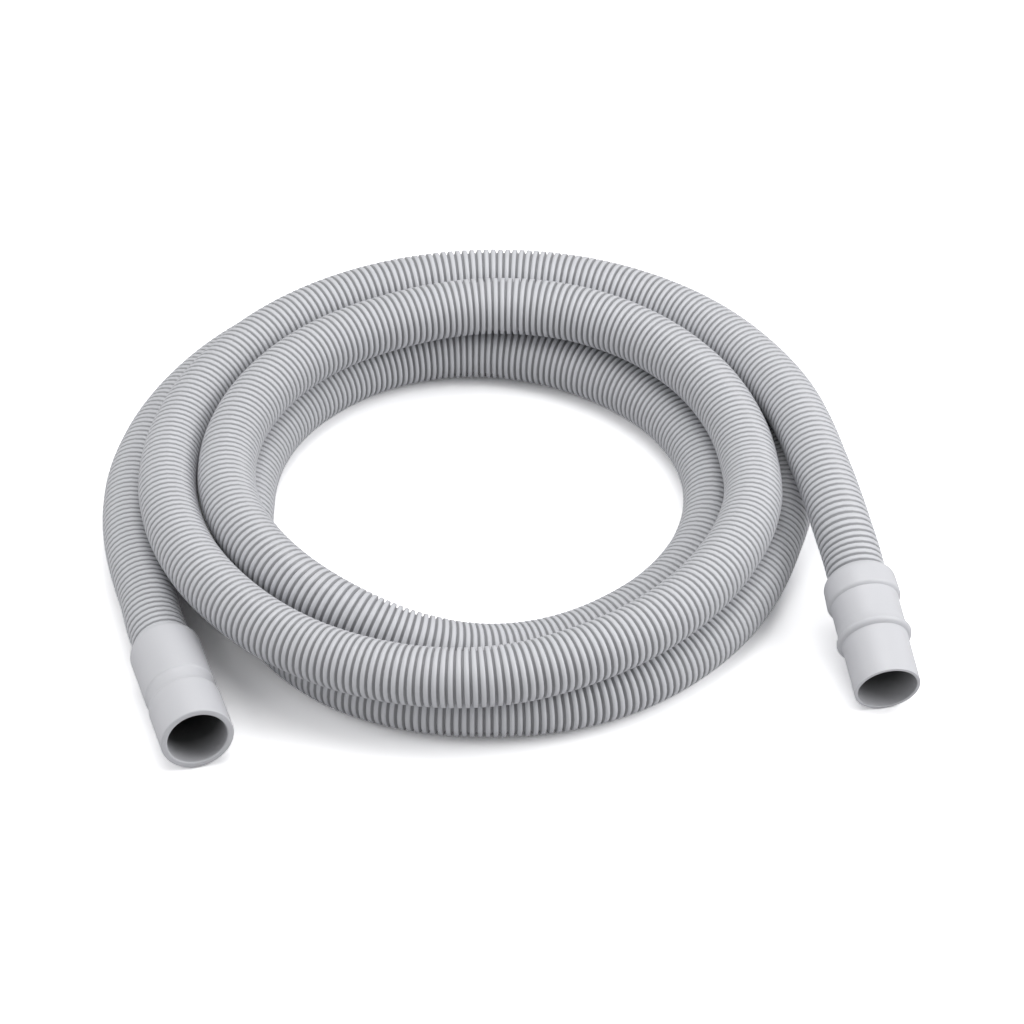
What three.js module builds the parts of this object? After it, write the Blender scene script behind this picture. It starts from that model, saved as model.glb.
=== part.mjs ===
// Washing machine drain hose: a corrugated hose lying in a coil of three and
// two thirds turns, with a moulded cuff on each end. Millimetres, +Z up,
// +Y away from the side that the two cuffs point to.
import * as THREE from "three";

// Driving dimensions
const HOSE_OD = 26; // over the crests of the corrugations
const HOSE_WALL = 2.5; // from the crests to the bore
const CLEARANCE = 0.3; // between pieces that meet
const SOCKET_DEPTH = 25; // how far the hose goes into each cuff
const STOP_LENGTH = 2; // the ledge that the hose end meets
const PLAIN_RUN = 8; // straight hose between the coil and the plain cuff
const STEPPED_RUN = 6.5; // and between the coil and the stepped cuff

const PLAIN_CUFF_LENGTH = 62;
const PLAIN_SLEEVE_WALL = 2.9; // over the hose
const PLAIN_MOUTH_BORE = 26.4;
const PLAIN_MOUTH_WALL = 3;
const PLAIN_LIP_ROUND = 0.9;
const PLAIN_LEAD_LENGTH = 4.5; // the taper where the hose goes in
const WAIST_DISTANCE = 35.5; // from the hose side to the middle of the waist
const WAIST_WIDTH = 7;
const WAIST_DEPTH = 0.9;
const WAIST_FILLET = 1;

const STEPPED_CUFF_LENGTH = 59.2;
const COLLAR_WALL = 3.4; // over the hose
const COLLAR_LENGTH = 13;
const COLLAR_LEAD_LENGTH = 3.5;
const BARREL_WALL = 2.1;
const BEAD_DISTANCE = 33; // from the hose side to the crest of the bead
const BEAD_FLARE_LENGTH = 7;
const BEAD_WALL = 3.7;
const BEAD_FILLET = 1;
const BEAD_BACK_LENGTH = 1.5; // from its crest to the spigot
const SPIGOT_BORE = 26.2;
const SPIGOT_WALL = 1.5;
const SPIGOT_SWELL = 0.1; // how much thicker the spigot is at the bead

// Roundness of the meshes
const CUFF_SEGMENTS = 64;
const HOSE_SIDES = 12;
const RINGS_PER_TURN = 22;

const HOSE_BORE = HOSE_OD - 2 * HOSE_WALL;

// The coil as the hose was laid down: the angle turned since the left side,
// the distance of the hose's middle from the coil's middle, and its height,
// both in hose diameters. It goes clockwise seen from above, from the plain
// cuff round on the floor, inwards under the later turns, and back over them.
const COIL = [
  [-35, 6.512, 0.63], [-26, 6.205, 0.627], [-12, 6.03, 0.57], [5, 5.95, 0.5],
  [30, 5.86, 0.5], [90, 5.85, 0.5], [135, 5.81, 0.5], [150, 5.71, 0.5],
  [165, 5.54, 0.5], [180, 5.31, 0.5], [195, 5.17, 0.5], [215, 5.26, 0.5],
  [247, 5.44, 0.5], [270, 5.39, 0.5], [285, 5.33, 0.5], [300, 5.16, 0.5],
  [315, 4.84, 0.5], [330, 4.46, 0.5], [345, 4.15, 0.5], [360, 4.01, 0.5],
  [395, 4.05, 0.5], [440, 4.16, 0.5], [485, 4.04, 0.5], [530, 4.04, 0.5],
  [590, 4.01, 0.5], [615, 4.11, 0.54], [630, 4.27, 0.71], [645, 4.42, 1.0],
  [660, 4.5, 1.3], [675, 4.51, 1.47], [690, 4.47, 1.52], [705, 4.39, 1.5],
  [720, 4.28, 1.48], [750, 4.06, 1.52], [785, 3.95, 1.52], [810, 4.08, 1.52],
  [834, 4.23, 1.52], [870, 4.39, 1.5], [900, 4.63, 1.41], [915, 4.83, 1.47],
  [935, 5.05, 1.52], [965, 5.44, 1.52], [990, 5.74, 1.47], [1015, 5.71, 1.41],
  [1040, 5.58, 1.42], [1065, 5.41, 1.37], [1090, 5.23, 1.31], [1115, 5.08, 1.35],
  [1145, 5.03, 1.38], [1170, 5.09, 1.39], [1194, 5.24, 1.39], [1210, 5.34, 1.4],
  [1230, 5.42, 1.48], [1245, 5.56, 1.52], [1260, 5.79, 1.48], [1269, 6.085, 1.42],
  [1276, 6.43, 1.323], [1282, 6.855, 1.133],
];

// A smooth value through one column of the coil's list, at a turned angle.
function smoothAt(turn, column) {
  let i = 0;
  while (i < COIL.length - 2 && COIL[i + 1][0] < turn) i += 1;
  const slope = (k) => {
    const a = COIL[Math.max(k - 1, 0)];
    const b = COIL[Math.min(k + 1, COIL.length - 1)];
    return (b[column] - a[column]) / (b[0] - a[0]);
  };
  const span = COIL[i + 1][0] - COIL[i][0];
  const t = (turn - COIL[i][0]) / span;
  const rise = t * t * (3 - 2 * t);
  return (
    COIL[i][column] * (1 - rise) +
    COIL[i + 1][column] * rise +
    slope(i) * span * t * (1 - t) * (1 - t) -
    slope(i + 1) * span * t * t * (1 - t)
  );
}

// The middle of the hose at a turned angle.
function coilPoint(turn) {
  const bearing = THREE.MathUtils.degToRad(180 - turn);
  const radius = smoothAt(turn, 1) * HOSE_OD;
  return new THREE.Vector3(
    radius * Math.cos(bearing),
    radius * Math.sin(bearing),
    smoothAt(turn, 2) * HOSE_OD,
  );
}

// Where the hose enters a cuff, and the way from the hose into the cuff.
function coilEnd(turn, side, run) {
  const last = coilPoint(turn);
  const way = last.clone().sub(coilPoint(turn - side * 2)).normalize();
  return { at: last.clone().addScaledVector(way, run), way };
}

const FIRST_TURN = COIL[0][0];
const LAST_TURN = COIL[COIL.length - 1][0];
const plainEnd = coilEnd(FIRST_TURN, -1, PLAIN_RUN);
const steppedEnd = coilEnd(LAST_TURN, 1, STEPPED_RUN);

// The hose's ring centres: straight in each cuff, an even step of turn between.
class HosePath extends THREE.Curve {
  constructor() {
    super();
    const inside = SOCKET_DEPTH - CLEARANCE;
    const steps = Math.round(((LAST_TURN - FIRST_TURN) / 360) * RINGS_PER_TURN);
    this.rings = [plainEnd.at.clone().addScaledVector(plainEnd.way, inside)];
    for (let k = 0; k <= steps; k += 1) {
      this.rings.push(coilPoint(FIRST_TURN + ((LAST_TURN - FIRST_TURN) * k) / steps));
    }
    this.rings.push(steppedEnd.at.clone().addScaledVector(steppedEnd.way, inside));
  }
  getPoint(t) {
    const place = t * (this.rings.length - 1);
    const k = Math.min(Math.floor(place), this.rings.length - 2);
    return this.rings[k].clone().lerp(this.rings[k + 1], place - k);
  }
  getUtoTmapping(u) {
    return u;
  }
}

// The hose: one hollow tube, plain at the size of its crests.
function makeHose() {
  const section = new THREE.Shape().absarc(0, 0, HOSE_OD / 2, 0, 2 * Math.PI, false);
  section.holes.push(
    new THREE.Path().absarc(0, 0, HOSE_BORE / 2, 0, 2 * Math.PI, true),
  );
  const path = new HosePath();
  return new THREE.ExtrudeGeometry(section, {
    extrudePath: path,
    steps: path.rings.length - 1,
    curveSegments: HOSE_SIDES / 2,
  });
}

// The inside of a cuff, from its mouth back to the hose side: the mouth's bore,
// a taper down to the hose's own bore, the stop and the socket.
function addCuffInside(outline, mouthBore) {
  const socket = HOSE_OD / 2 + CLEARANCE;
  const taper = mouthBore / 2 - HOSE_BORE / 2;
  outline.lineTo(mouthBore / 2, SOCKET_DEPTH + STOP_LENGTH + taper);
  outline.lineTo(HOSE_BORE / 2, SOCKET_DEPTH + STOP_LENGTH);
  outline.lineTo(HOSE_BORE / 2, SOCKET_DEPTH);
  outline.lineTo(socket, SOCKET_DEPTH);
  outline.lineTo(socket, 0);
}

// A lathed cuff: x is the distance from its axis, y the way from the hose side.
function turnCuff(outline) {
  const points = outline.getPoints(4).slice(0, -1);
  points.push(points[0].clone());
  return new THREE.LatheGeometry(points, CUFF_SEGMENTS);
}

// The plain cuff: a tapered lead, a sleeve, a shallow waist and a thick mouth.
function makePlainCuff() {
  const sleeve = HOSE_OD / 2 + PLAIN_SLEEVE_WALL;
  const mouth = PLAIN_MOUTH_BORE / 2 + PLAIN_MOUTH_WALL;
  const waist = sleeve - WAIST_DEPTH;
  const edge = HOSE_OD / 2 + CLEARANCE;
  const end = PLAIN_CUFF_LENGTH;
  const round = PLAIN_LIP_ROUND;
  const bore = PLAIN_MOUTH_BORE / 2;
  const waistStart = WAIST_DISTANCE - WAIST_WIDTH / 2;
  const waistEnd = WAIST_DISTANCE + WAIST_WIDTH / 2;
  const outline = new THREE.Shape();
  outline.moveTo(edge, 0);
  outline.lineTo(edge + PLAIN_SLEEVE_WALL / 4, 0);
  outline.quadraticCurveTo(sleeve, PLAIN_LEAD_LENGTH * 0.6, sleeve, PLAIN_LEAD_LENGTH);
  outline.lineTo(sleeve, waistStart - WAIST_DEPTH);
  outline.quadraticCurveTo(waist, waistStart, waist, WAIST_DISTANCE);
  outline.quadraticCurveTo(waist, waistEnd - WAIST_FILLET, mouth, waistEnd + WAIST_DEPTH);
  outline.lineTo(mouth, end - round);
  outline.quadraticCurveTo(mouth, end, mouth - round, end);
  outline.lineTo(bore + round, end);
  outline.quadraticCurveTo(bore, end, bore, end - round);
  addCuffInside(outline, PLAIN_MOUTH_BORE);
  outline.closePath();
  return turnCuff(outline);
}

// The stepped cuff: a collar, a barrel that flares to a bead, and a thin spigot.
function makeSteppedCuff() {
  const hose = HOSE_OD / 2;
  const edge = hose + CLEARANCE;
  const collar = hose + COLLAR_WALL;
  const barrel = hose + BARREL_WALL;
  const bead = hose + BEAD_WALL;
  const spigot = SPIGOT_BORE / 2 + SPIGOT_WALL;
  const root = spigot + SPIGOT_SWELL;
  const step = (collar - barrel) / 2;
  const flareStart = BEAD_DISTANCE - BEAD_FLARE_LENGTH;
  const end = STEPPED_CUFF_LENGTH;
  const round = SPIGOT_WALL / 4;
  const bore = SPIGOT_BORE / 2;
  const outline = new THREE.Shape();
  outline.moveTo(edge, 0);
  outline.lineTo(edge + COLLAR_WALL / 5, 0);
  outline.quadraticCurveTo(collar - step, COLLAR_LEAD_LENGTH / 2, collar - step / 2, COLLAR_LEAD_LENGTH);
  outline.lineTo(collar, COLLAR_LENGTH - 2 * step);
  outline.quadraticCurveTo(collar, COLLAR_LENGTH, barrel, COLLAR_LENGTH + step);
  outline.lineTo(barrel, flareStart);
  outline.quadraticCurveTo(barrel, flareStart + BEAD_FLARE_LENGTH / 2, bead, BEAD_DISTANCE - BEAD_FILLET);
  outline.quadraticCurveTo(bead, BEAD_DISTANCE + BEAD_FILLET, root, BEAD_DISTANCE + BEAD_BACK_LENGTH);
  outline.lineTo(spigot, end - round);
  outline.quadraticCurveTo(spigot, end, spigot - round, end);
  outline.lineTo(bore + round, end);
  outline.quadraticCurveTo(bore, end, bore, end - round);
  addCuffInside(outline, SPIGOT_BORE);
  outline.closePath();
  return turnCuff(outline);
}

// A named mesh, moved to where the hose leaves the cuff when one is given.
function place(name, geometry, end) {
  const mesh = new THREE.Mesh(geometry);
  mesh.name = name;
  if (end) {
    mesh.quaternion.setFromUnitVectors(new THREE.Vector3(0, 1, 0), end.way);
    mesh.position.copy(end.at);
  }
  return mesh;
}

const part = new THREE.Group();
part.add(place("corrugated_hose", makeHose()));
part.add(place("plain_cuff", makePlainCuff(), plainEnd));
part.add(place("stepped_cuff", makeSteppedCuff(), steppedEnd));

// The frame's origin is the middle of the underside of the whole.
part.updateMatrixWorld(true);
const around = new THREE.Box3().setFromObject(part, true);
const middle = around.getCenter(new THREE.Vector3());
for (const mesh of part.children) {
  mesh.position.sub(new THREE.Vector3(middle.x, middle.y, around.min.z));
}

export default part;
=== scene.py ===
import math

import bpy
import numpy as np
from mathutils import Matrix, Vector


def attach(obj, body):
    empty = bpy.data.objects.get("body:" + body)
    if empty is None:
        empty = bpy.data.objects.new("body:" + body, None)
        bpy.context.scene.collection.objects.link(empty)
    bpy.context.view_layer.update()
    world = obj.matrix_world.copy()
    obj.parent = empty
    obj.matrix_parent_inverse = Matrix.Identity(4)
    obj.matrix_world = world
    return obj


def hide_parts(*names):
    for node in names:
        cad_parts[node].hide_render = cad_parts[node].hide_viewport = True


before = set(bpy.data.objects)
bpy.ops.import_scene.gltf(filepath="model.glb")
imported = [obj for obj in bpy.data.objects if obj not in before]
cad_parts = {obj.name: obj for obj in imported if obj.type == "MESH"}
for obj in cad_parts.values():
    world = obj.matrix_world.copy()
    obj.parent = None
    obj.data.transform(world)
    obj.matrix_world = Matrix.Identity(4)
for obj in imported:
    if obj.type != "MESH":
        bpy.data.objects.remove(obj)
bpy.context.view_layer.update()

# Sizes in metres, as in the part's source
HOSE_OD = 0.026
HOSE_BORE = 0.021
CLEARANCE = 0.0003
SOCKET_DEPTH = 0.025
STOP_LENGTH = 0.002
PLAIN_RUN = 0.008
STEPPED_RUN = 0.0065
# Where the coil's middle stands in the part's frame
COIL_MIDDLE = np.array([-0.011625, 0.002383, 0.000157])

PLAIN_CUFF_LENGTH = 0.062
PLAIN_SLEEVE_WALL = 0.0029
PLAIN_MOUTH_BORE = 0.0264
PLAIN_MOUTH_WALL = 0.003
PLAIN_LIP_ROUND = 0.0009
PLAIN_LEAD_LENGTH = 0.0045
WAIST_DISTANCE = 0.0355
WAIST_WIDTH = 0.007
WAIST_DEPTH = 0.0009
WAIST_FILLET = 0.001

STEPPED_CUFF_LENGTH = 0.0592
COLLAR_WALL = 0.0034
COLLAR_LENGTH = 0.013
COLLAR_LEAD_LENGTH = 0.0035
BARREL_WALL = 0.0021
BEAD_DISTANCE = 0.033
BEAD_FLARE_LENGTH = 0.007
BEAD_WALL = 0.0037
BEAD_FILLET = 0.001
BEAD_BACK_LENGTH = 0.0015
SPIGOT_BORE = 0.0262
SPIGOT_WALL = 0.0015
SPIGOT_SWELL = 0.0001

# The hose's ribs
RIB_PITCH = 0.00318
RIB_DEPTH = 0.0016
RIB_SIDES = 24
# Each rib's rings: the place along the pitch, and the depth as a share of a rib's
RIB_RINGS = [(0.0, 0.0), (0.54, 0.0), (0.68, 1.0), (0.86, 1.0)]
BORE_STEP = 0.012

# How finely the route is followed: degrees of turn between its points, the turn
# that gives an end its way, and the reach that gives a ring its way
TURN_STEP = 0.25
END_TURN = 2
RING_REACH = 0.002

# The finish of the cuffs' meshes. A corner is eased when the cosine between its
# two sides is above the limit
CUFF_SIDES = 128
CURVE_STEPS = 10
CORNER_ROUND = 0.0002
CORNER_LIMIT = -0.94
CORNER_STEPS = (0, 0.33, 0.67, 1)
BORE_TOLERANCE = 0.00001
# How far into a mouth its painted shade reaches full darkness
PAINTED_SHADE_DEPTH = 0.032

# The plastics: colour, roughness and specular level, and the steps of painted shade
# by which the colour darkens down a groove and down a mouth
HOSE_FINISH = {"colour": (0.63, 0.637, 0.667), "roughness": 0.38, "shine": 0.45}
CUFF_FINISH = {"colour": (0.613, 0.617, 0.645), "roughness": 0.42, "shine": 0.5}
GROOVE_PAINTED_SHADE = [(0.0, 1.0), (0.3, 0.5), (1.0, 0.62)]
MOUTH_PAINTED_SHADE = [(0.0, 1.0), (0.45, 0.17), (1.0, 0.015)]
TINT_SPREAD = 0.03
TINT_SCALE = 35
GLOSS_SPREAD = 0.05
GLOSS_SCALE = 220
SKIN_STRENGTH = 0.15
SKIN_HEIGHT = 0.0002
SKIN_SCALE = 1500

# The camera, which stands in front of the part
CAMERA_LENS = 202.5
SENSOR_WIDTH = 36
CAMERA_RISE = math.radians(40)
CAMERA_AWAY = 100 * HOSE_OD
CAMERA_TARGET = np.array([0.015, 0.006, 0.0]) + COIL_MIDDLE
VIEW_END = 20

# The floor and the room: what the eye sees and what lights the part
FLOOR_REACH = 6.0
FLOOR_DROP = 0.0002
FLOOR_SEEN = (1.62, 1.62, 1.63, 1)
FLOOR_UNSEEN = (0.62, 0.62, 0.63, 1)
ROOM_BEHIND = 0.37
ROOM_IN_FRONT = 0.47
WHITE = (1, 1, 1, 1)
# Each lamp's place, its diameter and its power in watts
LAMPS = {
    "top_softbox": ((0.0, 0.16, 1.5), 1.3, 9.2),
    "right_softbox": ((1.3, -0.2, 0.9), 1.0, 11.8),
    "left_softbox": ((-1.3, -0.2, 0.9), 1.0, 4.8),
}

# The coil: the angle turned since the left side, the distance of the hose's
# middle from the coil's middle, and its height, both in hose diameters
COIL = np.array([
    [-35, 6.512, 0.63], [-26, 6.205, 0.627], [-12, 6.03, 0.57], [5, 5.95, 0.5],
    [30, 5.86, 0.5], [90, 5.85, 0.5], [135, 5.81, 0.5], [150, 5.71, 0.5],
    [165, 5.54, 0.5], [180, 5.31, 0.5], [195, 5.17, 0.5], [215, 5.26, 0.5],
    [247, 5.44, 0.5], [270, 5.39, 0.5], [285, 5.33, 0.5], [300, 5.16, 0.5],
    [315, 4.84, 0.5], [330, 4.46, 0.5], [345, 4.15, 0.5], [360, 4.01, 0.5],
    [395, 4.05, 0.5], [440, 4.16, 0.5], [485, 4.04, 0.5], [530, 4.04, 0.5],
    [590, 4.01, 0.5], [615, 4.11, 0.54], [630, 4.27, 0.71], [645, 4.42, 1.0],
    [660, 4.5, 1.3], [675, 4.51, 1.47], [690, 4.47, 1.52], [705, 4.39, 1.5],
    [720, 4.28, 1.48], [750, 4.06, 1.52], [785, 3.95, 1.52], [810, 4.08, 1.52],
    [834, 4.23, 1.52], [870, 4.39, 1.5], [900, 4.63, 1.41], [915, 4.83, 1.47],
    [935, 5.05, 1.52], [965, 5.44, 1.52], [990, 5.74, 1.47], [1015, 5.71, 1.41],
    [1040, 5.58, 1.42], [1065, 5.41, 1.37], [1090, 5.23, 1.31], [1115, 5.08, 1.35],
    [1145, 5.03, 1.38], [1170, 5.09, 1.39], [1194, 5.24, 1.39], [1210, 5.34, 1.4],
    [1230, 5.42, 1.48], [1245, 5.56, 1.52], [1260, 5.79, 1.48], [1269, 6.085, 1.42],
    [1276, 6.43, 1.323], [1282, 6.855, 1.133],
])


def smooth_at(turn, column):
    """A smooth value through one column of the coil's list, at turned angles."""
    place, value = COIL[:, 0], COIL[:, column]
    i = np.clip(np.searchsorted(place, turn) - 1, 0, len(COIL) - 2)
    before = np.maximum(np.arange(len(COIL)) - 1, 0)
    after = np.minimum(np.arange(len(COIL)) + 1, len(COIL) - 1)
    slope = (value[after] - value[before]) / (place[after] - place[before])
    span = place[i + 1] - place[i]
    t = (turn - place[i]) / span
    rise = t * t * (3 - 2 * t)
    return (
        value[i] * (1 - rise)
        + value[i + 1] * rise
        + slope[i] * span * t * (1 - t) ** 2
        - slope[i + 1] * span * t * t * (1 - t)
    )


def coil_points(turns):
    """The middle of the hose at turned angles, in the part's frame."""
    turns = np.asarray(turns, float)
    bearing = np.radians(180 - turns)
    radius = smooth_at(turns, 1) * HOSE_OD
    flat = np.column_stack([radius * np.cos(bearing), radius * np.sin(bearing)])
    height = smooth_at(turns, 2) * HOSE_OD
    return np.column_stack([flat, height]) + COIL_MIDDLE


def coil_end(turn, side, run):
    """Where the hose enters a cuff, and the way from the hose into the cuff."""
    last, before = coil_points([turn, turn - END_TURN * side])
    way = (last - before) / np.linalg.norm(last - before)
    return last + way * run, way


FIRST, LAST = COIL[0, 0], COIL[-1, 0]
plain_at, plain_way = coil_end(FIRST, -1, PLAIN_RUN)
stepped_at, stepped_way = coil_end(LAST, 1, STEPPED_RUN)


def hose_line():
    """The hose's middle from inside one cuff to inside the other, finely."""
    inside = SOCKET_DEPTH - CLEARANCE
    return np.vstack([
        plain_at + plain_way * inside,
        coil_points(np.arange(FIRST, LAST + TURN_STEP / 2, TURN_STEP)),
        stepped_at + stepped_way * inside,
    ])


LINE = hose_line()
ALONG = np.concatenate([[0], np.cumsum(np.linalg.norm(np.diff(LINE, axis=0), axis=1))])
LENGTH = ALONG[-1]


def rings_at(places):
    """Centres, sideways and upward directions of the hose at lengths along it."""
    def at(s):
        return np.column_stack([np.interp(s, ALONG, LINE[:, k]) for k in range(3)])

    ahead = at(np.clip(places + RING_REACH, 0, LENGTH))
    behind = at(np.clip(places - RING_REACH, 0, LENGTH))
    way = ahead - behind
    way /= np.linalg.norm(way, axis=1)[:, None]
    side = np.cross(way, [0.0, 0.0, 1.0])
    side /= np.linalg.norm(side, axis=1)[:, None]
    return at(places), side, np.cross(side, way)


def tube(places, radii, sides):
    """The points of rings of these radii round the hose's line."""
    centre, side, up = rings_at(places)
    turn = np.arange(sides) * 2 * math.pi / sides
    across = np.cos(turn)[None, :, None] * side[:, None]
    above = np.sin(turn)[None, :, None] * up[:, None]
    spoke = across + above
    return (centre[:, None] + spoke * radii[:, None, None]).reshape(-1, 3)


def strip(first, rings, sides, inward=False):
    """Quads between rings that follow each other, from a first point on."""
    a = first + np.arange(rings - 1)[:, None] * sides + np.arange(sides)[None]
    b = first + np.arange(rings - 1)[:, None] * sides + (np.arange(sides)[None] + 1) % sides
    quads = np.stack([a, b, b + sides, a + sides], axis=-1).reshape(-1, 4)
    return quads[:, ::-1] if inward else quads


def new_mesh(name, points, quads, values=None):
    """A smooth mesh object made of quads, with a value on each point if given."""
    mesh = bpy.data.meshes.new(name)
    mesh.from_pydata(points.tolist(), [], quads.tolist())
    mesh.polygons.foreach_set("use_smooth", [True] * len(quads))
    for key, value in (values or {}).items():
        layer = mesh.attributes.new(key, "FLOAT", "POINT")
        layer.data.foreach_set("value", value.astype(np.float32))
    mesh.validate()
    thing = bpy.data.objects.new(name, mesh)
    bpy.context.scene.collection.objects.link(thing)
    return thing


def add_camera():
    """A long lens in front of the part, looking down at it."""
    data = bpy.data.cameras.new("camera")
    data.lens = CAMERA_LENS
    data.sensor_width = SENSOR_WIDTH
    data.clip_end = VIEW_END
    camera = bpy.data.objects.new("camera", data)
    bpy.context.scene.collection.objects.link(camera)
    back = np.array([0, -math.cos(CAMERA_RISE), math.sin(CAMERA_RISE)])
    camera.location = CAMERA_TARGET + CAMERA_AWAY * back
    camera.rotation_euler = (math.pi / 2 - CAMERA_RISE, 0, 0)
    bpy.context.scene.camera = camera


add_camera()


def make_hose():
    """The hose, ribbed outside, plain inside and open at both ends, and its path."""
    ribs = int(LENGTH / RIB_PITCH)
    places, depths = [], []
    for rib in range(ribs):
        for place, depth in RIB_RINGS:
            places.append((rib + place) * LENGTH / ribs)
            depths.append(depth)
    places.append(LENGTH)
    depths.append(0.0)
    places, depths = np.array(places), np.array(depths)
    outer = tube(places, HOSE_OD / 2 - RIB_DEPTH * depths, RIB_SIDES)
    steps = int(LENGTH / BORE_STEP)
    bore_places = np.linspace(0, LENGTH, steps)
    inner = tube(bore_places, np.full(steps, HOSE_BORE / 2), RIB_SIDES)
    count = len(outer)
    sides = RIB_SIDES
    last_outer = (len(places) - 1) * sides
    last_inner = count + (steps - 1) * sides
    k = np.arange(sides)
    n = (k + 1) % sides
    start = np.stack([k, count + k, count + n, n], axis=-1)
    end = np.stack([last_outer + k, last_outer + n, last_inner + n, last_inner + k], axis=-1)
    quads = np.vstack([
        strip(0, len(places), sides),
        strip(count, steps, sides, inward=True),
        start,
        end,
    ])
    # Each ring's depth also sets the painted shade of the grooves; the bore gets the painted shade of a
    # groove's bottom
    sunk = np.concatenate([np.repeat(depths, sides), np.ones(len(inner))])
    hose = new_mesh("ribbed_hose", np.vstack([outer, inner]), quads, {"sunk": sunk})
    return hose, np.column_stack([np.interp(bore_places, ALONG, LINE[:, j]) for j in range(3)])


hose, hose_path = make_hose()
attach(hose, "root")
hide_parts("corrugated_hose")


# The cuffs: each one turned from the outline of its wall, from the hose side
# round the outside to the mouth and back along the inside
class Outline:
    """Points of a wall's section: distance from the axis, way from the hose side."""

    def __init__(self, x, y):
        self.points = [np.array([x, y], float)]

    def line(self, x, y):
        self.points.append(np.array([x, y], float))

    def bend(self, corner_x, corner_y, x, y):
        start, corner, end = self.points[-1], np.array([corner_x, corner_y]), np.array([x, y])
        for t in np.arange(1, CURVE_STEPS + 1) / CURVE_STEPS:
            self.points.append((1 - t) ** 2 * start + 2 * t * (1 - t) * corner + t * t * end)

    def rounded(self):
        """The closed outline with its corners eased, and close points beside each corner."""
        finished = []
        points = self.points[:-1] if np.allclose(self.points[0], self.points[-1]) else self.points
        for k, here in enumerate(points):
            back, on = points[k - 1] - here, points[(k + 1) % len(points)] - here
            reach = [min(CORNER_ROUND, 0.3 * np.linalg.norm(v)) for v in (back, on)]
            back, on = back / np.linalg.norm(back), on / np.linalg.norm(on)
            if np.dot(back, on) > CORNER_LIMIT:
                ways = [here + back * reach[0], here + on * reach[1]]
                finished += [here + back * reach[0] * 2] if reach[0] == CORNER_ROUND else []
                for t in CORNER_STEPS:
                    finished.append((1 - t) ** 2 * ways[0] + 2 * t * (1 - t) * here + t * t * ways[1])
                finished += [here + on * reach[1] * 2] if reach[1] == CORNER_ROUND else []
            else:
                finished.append(here)
        return np.array(finished)


def add_cuff_inside(outline, mouth_bore):
    """The mouth's bore, a taper down to the hose's bore, the stop and the socket."""
    socket = HOSE_OD / 2 + CLEARANCE
    taper = mouth_bore / 2 - HOSE_BORE / 2
    outline.line(mouth_bore / 2, SOCKET_DEPTH + STOP_LENGTH + taper)
    outline.line(HOSE_BORE / 2, SOCKET_DEPTH + STOP_LENGTH)
    outline.line(HOSE_BORE / 2, SOCKET_DEPTH)
    outline.line(socket, SOCKET_DEPTH)
    outline.line(socket, 0)


def plain_outline():
    """A short lead, a sleeve, a shallow waist and a thick mouth."""
    sleeve = HOSE_OD / 2 + PLAIN_SLEEVE_WALL
    mouth = PLAIN_MOUTH_BORE / 2 + PLAIN_MOUTH_WALL
    waist = sleeve - WAIST_DEPTH
    edge = HOSE_OD / 2 + CLEARANCE
    end, ease, bore = PLAIN_CUFF_LENGTH, PLAIN_LIP_ROUND, PLAIN_MOUTH_BORE / 2
    waist_start = WAIST_DISTANCE - WAIST_WIDTH / 2
    waist_end = WAIST_DISTANCE + WAIST_WIDTH / 2
    outline = Outline(edge, 0)
    outline.line(edge + PLAIN_SLEEVE_WALL / 4, 0)
    outline.bend(sleeve, PLAIN_LEAD_LENGTH * 0.6, sleeve, PLAIN_LEAD_LENGTH)
    outline.line(sleeve, waist_start - WAIST_DEPTH)
    outline.bend(waist, waist_start, waist, WAIST_DISTANCE)
    outline.bend(waist, waist_end - WAIST_FILLET, mouth, waist_end + WAIST_DEPTH)
    outline.line(mouth, end - ease)
    outline.bend(mouth, end, mouth - ease, end)
    outline.line(bore + ease, end)
    outline.bend(bore, end, bore, end - ease)
    add_cuff_inside(outline, PLAIN_MOUTH_BORE)
    return outline.rounded()


def stepped_outline():
    """A collar, a barrel that flares to a bead, and a thinner spigot."""
    middle = HOSE_OD / 2
    edge, collar, barrel = middle + CLEARANCE, middle + COLLAR_WALL, middle + BARREL_WALL
    bead = middle + BEAD_WALL
    spigot = SPIGOT_BORE / 2 + SPIGOT_WALL
    step = (collar - barrel) / 2
    flare_start = BEAD_DISTANCE - BEAD_FLARE_LENGTH
    end, ease, bore = STEPPED_CUFF_LENGTH, SPIGOT_WALL / 4, SPIGOT_BORE / 2
    outline = Outline(edge, 0)
    outline.line(edge + COLLAR_WALL / 5, 0)
    outline.bend(collar - step, COLLAR_LEAD_LENGTH / 2, collar - step / 2, COLLAR_LEAD_LENGTH)
    outline.line(collar, COLLAR_LENGTH - 2 * step)
    outline.bend(collar, COLLAR_LENGTH, barrel, COLLAR_LENGTH + step)
    outline.line(barrel, flare_start)
    outline.bend(barrel, flare_start + BEAD_FLARE_LENGTH / 2, bead, BEAD_DISTANCE - BEAD_FILLET)
    outline.bend(bead, BEAD_DISTANCE + BEAD_FILLET, spigot + SPIGOT_SWELL, BEAD_DISTANCE + BEAD_BACK_LENGTH)
    outline.line(spigot, end - ease)
    outline.bend(spigot, end, spigot - ease, end)
    outline.line(bore + ease, end)
    outline.bend(bore, end, bore, end - ease)
    add_cuff_inside(outline, SPIGOT_BORE)
    return outline.rounded()


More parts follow.
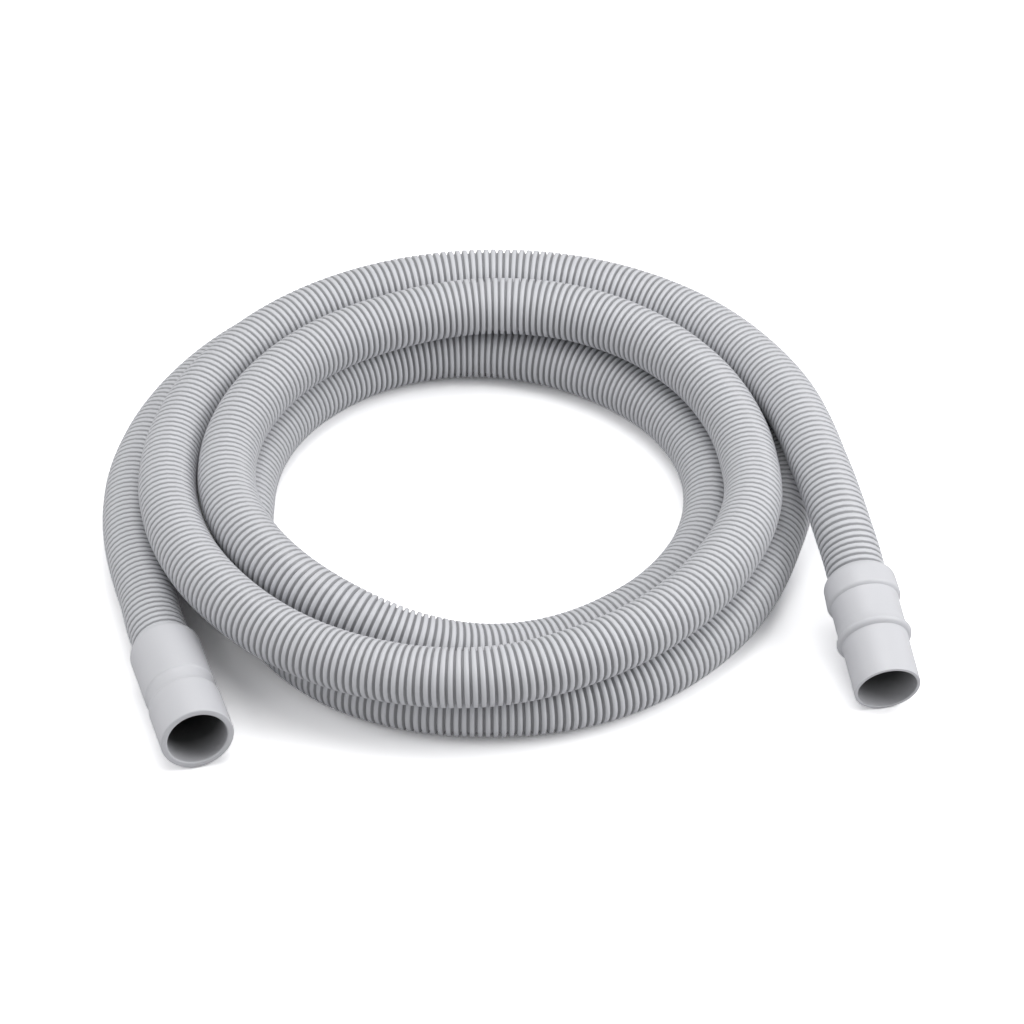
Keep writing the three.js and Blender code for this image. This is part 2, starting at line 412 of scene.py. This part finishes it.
def turn_cuff(name, outline, mouth_bore, length, at, way, node):
    """A turned piece on its axis; "deep" grows along the inside from the mouth and sets the painted shade
    that darkens the mouth further in.
    """
    side = np.cross(way, [0.0, 0.0, 1.0])
    side /= np.linalg.norm(side)
    up = np.cross(side, way)
    turn = np.arange(CUFF_SIDES) * 2 * math.pi / CUFF_SIDES
    spoke = np.cos(turn)[:, None] * side + np.sin(turn)[:, None] * up
    rings = at + outline[:, 1, None, None] * way + outline[:, 0, None, None] * spoke
    rings = np.concatenate([rings, rings[:1]])
    points = rings.reshape(-1, 3)[: len(outline) * CUFF_SIDES]
    quads = strip(0, len(outline) + 1, CUFF_SIDES) % len(points)
    inside = outline[:, 0] < mouth_bore / 2 + BORE_TOLERANCE
    # Painted shade inside the mouth: darker the further in from the mouth
    deep = np.where(inside, (length - outline[:, 1]) / PAINTED_SHADE_DEPTH, 0)
    cuff = new_mesh(name, points, quads, {"deep": np.repeat(deep, CUFF_SIDES)})
    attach(cuff, "root")
    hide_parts(node)
    return cuff


plain = turn_cuff(
    "plain_cuff_moulding", plain_outline(), PLAIN_MOUTH_BORE, PLAIN_CUFF_LENGTH,
    plain_at, plain_way, "plain_cuff",
)
stepped = turn_cuff(
    "stepped_cuff_moulding", stepped_outline(), SPIGOT_BORE, STEPPED_CUFF_LENGTH,
    stepped_at, stepped_way, "stepped_cuff",
)


def plastic(name, shade_value_name, painted_shade_steps, colour, roughness, shine):
    """Moulded plastic: a little uneven in colour and gloss, with a fine skin,
    and with painted shade, as dark as the steps say for the named value of the mesh."""
    material = bpy.data.materials.new(name)
    material.use_nodes = True
    nodes, links = material.node_tree.nodes, material.node_tree.links
    shader = nodes["Principled BSDF"]
    shader.inputs["Specular IOR Level"].default_value = shine
    where = nodes.new("ShaderNodeTexCoord")

    def noise(scale, detail):
        node = nodes.new("ShaderNodeTexNoise")
        node.inputs["Scale"].default_value = scale
        node.inputs["Detail"].default_value = detail
        links.new(where.outputs["Object"], node.inputs["Vector"])
        return node.outputs["Fac"]

    def spread(value, low, high):
        node = nodes.new("ShaderNodeMapRange")
        node.inputs["From Min"].default_value = 0.3
        node.inputs["From Max"].default_value = 0.7
        node.inputs["To Min"].default_value = low
        node.inputs["To Max"].default_value = high
        links.new(value, node.inputs["Value"])
        return node.outputs["Result"]

    tint = nodes.new("ShaderNodeMix")
    tint.data_type = "RGBA"
    tint.inputs["A"].default_value = (*[c * (1 - TINT_SPREAD) for c in colour], 1)
    tint.inputs["B"].default_value = (*[c * (1 + TINT_SPREAD) for c in colour], 1)
    links.new(noise(TINT_SCALE, 4), tint.inputs["Factor"])
    amount = nodes.new("ShaderNodeAttribute")
    amount.attribute_name = shade_value_name
    ramp = nodes.new("ShaderNodeValToRGB")
    stops = ramp.color_ramp.elements
    while len(stops) < len(painted_shade_steps):
        stops.new(0.5)
    for stop, (place, grey) in zip(stops, painted_shade_steps):
        stop.position = place
        stop.color = (grey, grey, grey, 1)
    links.new(amount.outputs["Fac"], ramp.inputs["Fac"])
    shade = nodes.new("ShaderNodeMix")
    shade.data_type = "RGBA"
    shade.blend_type = "MULTIPLY"
    shade.inputs["Factor"].default_value = 1.0
    links.new(ramp.outputs["Color"], shade.inputs["B"])
    links.new(tint.outputs["Result"], shade.inputs["A"])
    links.new(shade.outputs["Result"], shader.inputs["Base Color"])
    gloss = spread(noise(GLOSS_SCALE, 3), roughness - GLOSS_SPREAD, roughness + GLOSS_SPREAD)
    links.new(gloss, shader.inputs["Roughness"])
    bump = nodes.new("ShaderNodeBump")
    bump.inputs["Strength"].default_value = SKIN_STRENGTH
    bump.inputs["Distance"].default_value = SKIN_HEIGHT
    links.new(noise(SKIN_SCALE, 3), bump.inputs["Height"])
    links.new(bump.outputs["Normal"], shader.inputs["Normal"])
    return material


hose.data.materials.append(plastic("hose_plastic", "sunk", GROOVE_PAINTED_SHADE, **HOSE_FINISH))
cuff_plastic = plastic("cuff_plastic", "deep", MOUTH_PAINTED_SHADE, **CUFF_FINISH)
plain.data.materials.append(cuff_plastic)
stepped.data.materials.append(cuff_plastic)


def add_floor():
    """A floor that is white to the eye and pale grey to the light it sends back."""
    mesh = bpy.data.meshes.new("floor")
    far = FLOOR_REACH
    corners = [(-far, -far, 0), (far, -far, 0), (far, far, 0), (-far, far, 0)]
    mesh.from_pydata(corners, [], [(0, 1, 2, 3)])
    floor = bpy.data.objects.new("floor", mesh)
    bpy.context.scene.collection.objects.link(floor)
    floor.location.z = -FLOOR_DROP
    material = bpy.data.materials.new("floor_white")
    material.use_nodes = True
    nodes, links = material.node_tree.nodes, material.node_tree.links
    nodes.remove(nodes["Principled BSDF"])
    seen = nodes.new("ShaderNodeBsdfDiffuse")
    seen.inputs["Color"].default_value = FLOOR_SEEN
    unseen = nodes.new("ShaderNodeBsdfDiffuse")
    unseen.inputs["Color"].default_value = FLOOR_UNSEEN
    path = nodes.new("ShaderNodeLightPath")
    mix = nodes.new("ShaderNodeMixShader")
    links.new(path.outputs["Is Camera Ray"], mix.inputs["Fac"])
    links.new(unseen.outputs["BSDF"], mix.inputs[1])
    links.new(seen.outputs["BSDF"], mix.inputs[2])
    links.new(mix.outputs["Shader"], nodes["Material Output"].inputs["Surface"])
    mesh.materials.append(material)


def add_lamp(name, place, size, power):
    """A round soft lamp that points at the middle of the part's underside."""
    data = bpy.data.lights.new(name, "AREA")
    data.shape = "DISK"
    data.size = size
    data.energy = power
    lamp = bpy.data.objects.new(name, data)
    bpy.context.scene.collection.objects.link(lamp)
    lamp.location = place
    lamp.rotation_euler = (-Vector(place)).to_track_quat("-Z", "Y").to_euler()


def add_room():
    """An even room, a little brighter in front of the part, and white to the eye
    and in reflections."""
    world = bpy.data.worlds.new("white_room")
    world.use_nodes = True
    nodes, links = world.node_tree.nodes, world.node_tree.links
    where = nodes.new("ShaderNodeTexCoord")
    split = nodes.new("ShaderNodeSeparateXYZ")
    links.new(where.outputs["Generated"], split.inputs["Vector"])
    fade = nodes.new("ShaderNodeMapRange")
    fade.inputs["From Min"].default_value = 1.0
    fade.inputs["From Max"].default_value = -1.0
    fade.inputs["To Min"].default_value = ROOM_BEHIND
    fade.inputs["To Max"].default_value = ROOM_IN_FRONT
    links.new(split.outputs["Y"], fade.inputs["Value"])
    lit = nodes["Background"]
    lit.inputs["Color"].default_value = WHITE
    links.new(fade.outputs["Result"], lit.inputs["Strength"])
    seen = nodes.new("ShaderNodeBackground")
    seen.inputs["Color"].default_value = WHITE
    path = nodes.new("ShaderNodeLightPath")
    either = nodes.new("ShaderNodeMath")
    either.operation = "MAXIMUM"
    links.new(path.outputs["Is Camera Ray"], either.inputs[0])
    links.new(path.outputs["Is Glossy Ray"], either.inputs[1])
    pick = nodes.new("ShaderNodeMixShader")
    links.new(either.outputs["Value"], pick.inputs["Fac"])
    links.new(lit.outputs["Background"], pick.inputs[1])
    links.new(seen.outputs["Background"], pick.inputs[2])
    links.new(pick.outputs["Shader"], nodes["World Output"].inputs["Surface"])
    bpy.context.scene.world = world


add_floor()
for lamp_name, (lamp_place, lamp_size, lamp_power) in LAMPS.items():
    add_lamp(lamp_name, lamp_place, lamp_size, lamp_power)
add_room()
bpy.context.scene.view_settings.view_transform = "Standard"
